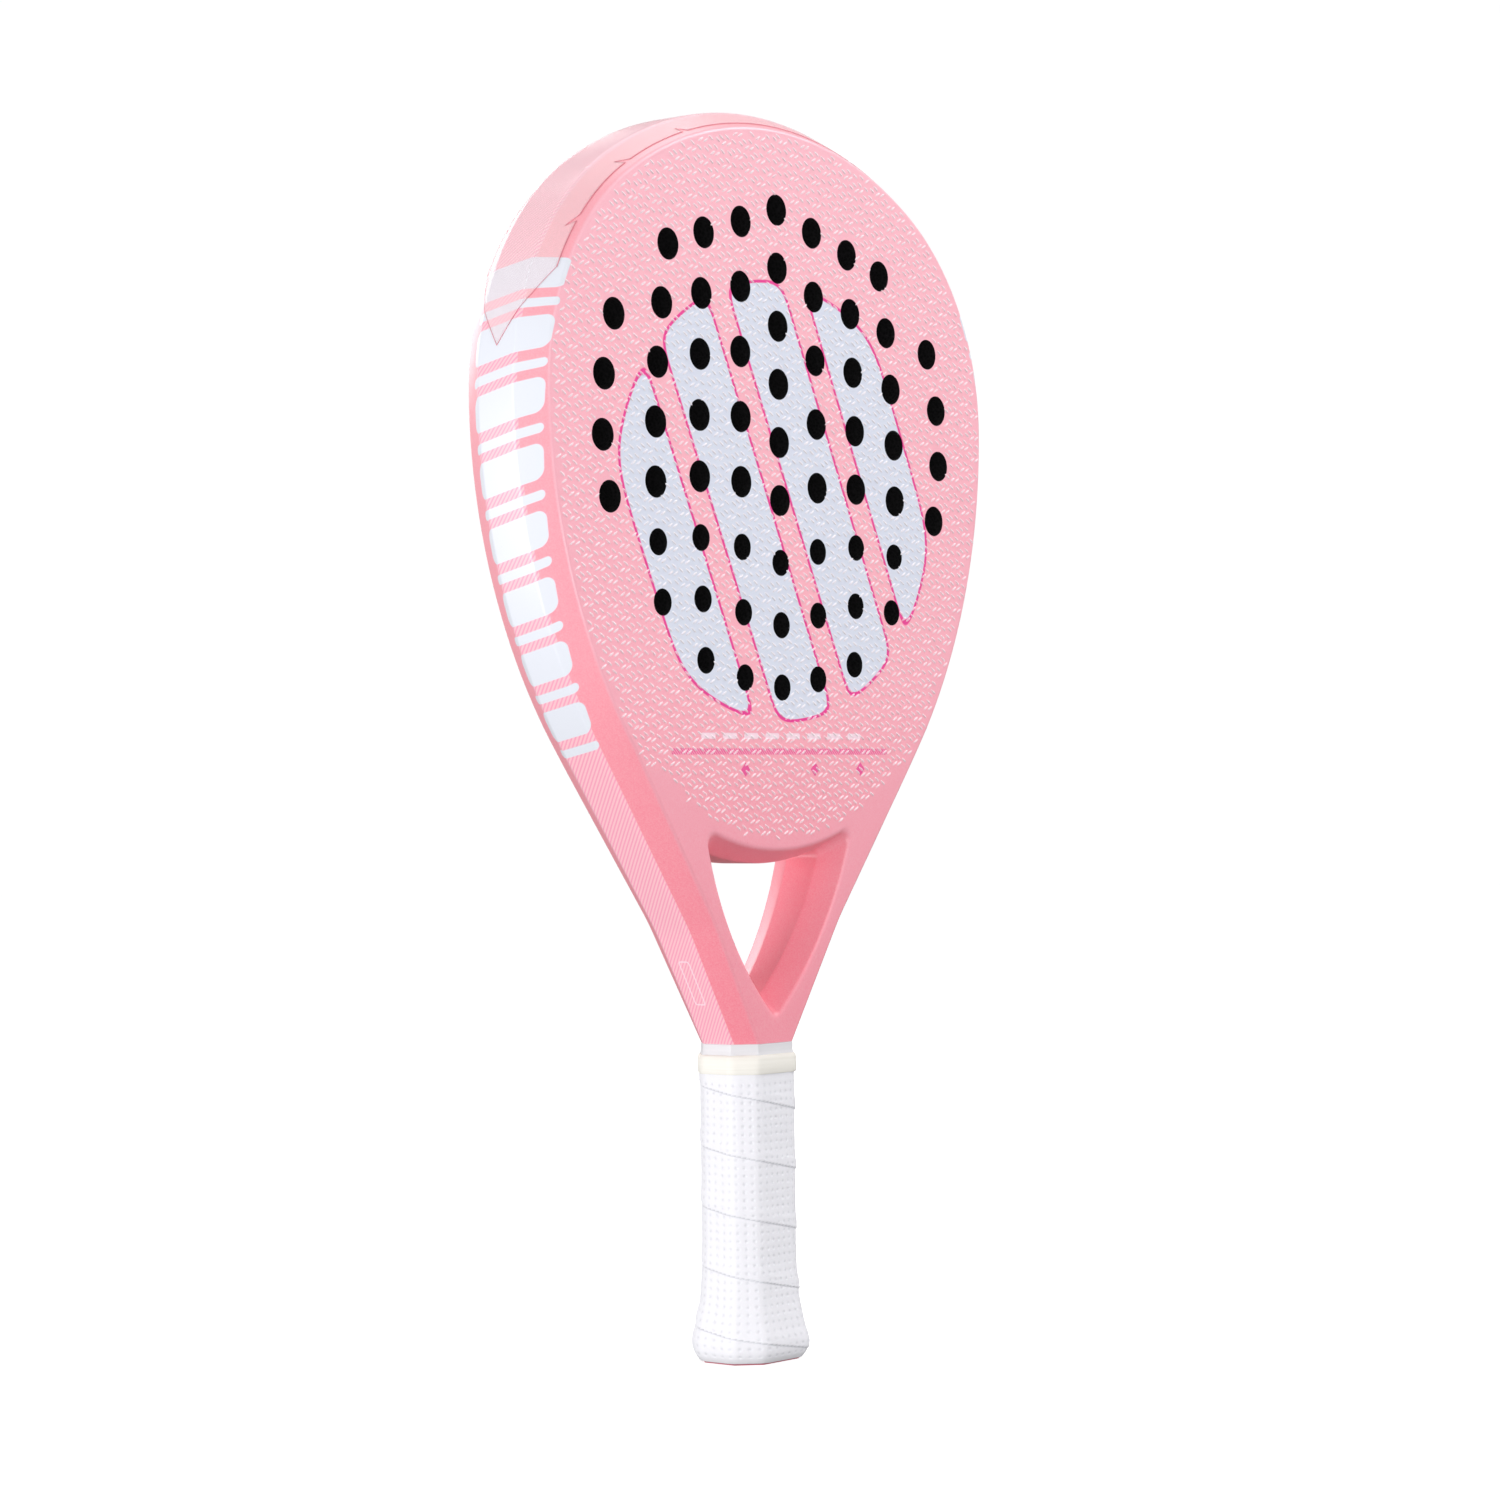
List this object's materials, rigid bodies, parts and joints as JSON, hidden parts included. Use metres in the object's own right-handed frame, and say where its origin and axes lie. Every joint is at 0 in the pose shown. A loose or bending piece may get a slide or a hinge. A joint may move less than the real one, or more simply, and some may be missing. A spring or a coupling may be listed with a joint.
{
  "type": "padel racket",
  "caption": "Teardrop padel racket with a drilled foam head, bevelled tubular frame, open triangular throat and a wrapped octagonal handle with a flared butt.",
  "frame": {"origin": "centre of the butt's flat underside", "axes": "+Z from the butt to the crown, X across the face, Y through the thickness, with the front face looking along -Y"},
  "size_m": [0.2602, 0.038, 0.4553],
  "materials": {
    "face_skin": "pink satin lacquer with a raised woven pattern and a pale graphic",
    "frame_paint": "salmon pink metallic satin lacquer",
    "core_foam": "black closed cell foam, matt",
    "bladder_film": "thin translucent film",
    "white_foam": "rigid white foam",
    "sleeve_laminate": "bare black laminate",
    "base_grip_foam": "soft black cushion",
    "overgrip_white": "white perforated wrap, matt",
    "collar_cream": "cream rubber, matt",
    "band_white": "white gloss",
    "butt_pink": "dark pink plastic",
    "staple_steel": "bright wire",
    "clear_film": "clear glossy film"
  },
  "bodies": {
    "root": {"back_face": "face_skin", "base_grip": "base_grip_foam", "bridge_core": "white_foam", "butt_cap": "butt_pink", "butt_staples": "staple_steel", "eva_core": "core_foam", "frame_bladder": "bladder_film", "frame_protector": "clear_film", "frame_tube": "frame_paint", "front_face": "face_skin", "grip_collar": "collar_cream", "handle_filler": "white_foam", "handle_sleeve": "sleeve_laminate", "overgrip": "overgrip_white", "shaft_band": "band_white", "throat_bridge": "frame_paint", "throat_insert": "frame_paint"}
  },
  "joints": []
}
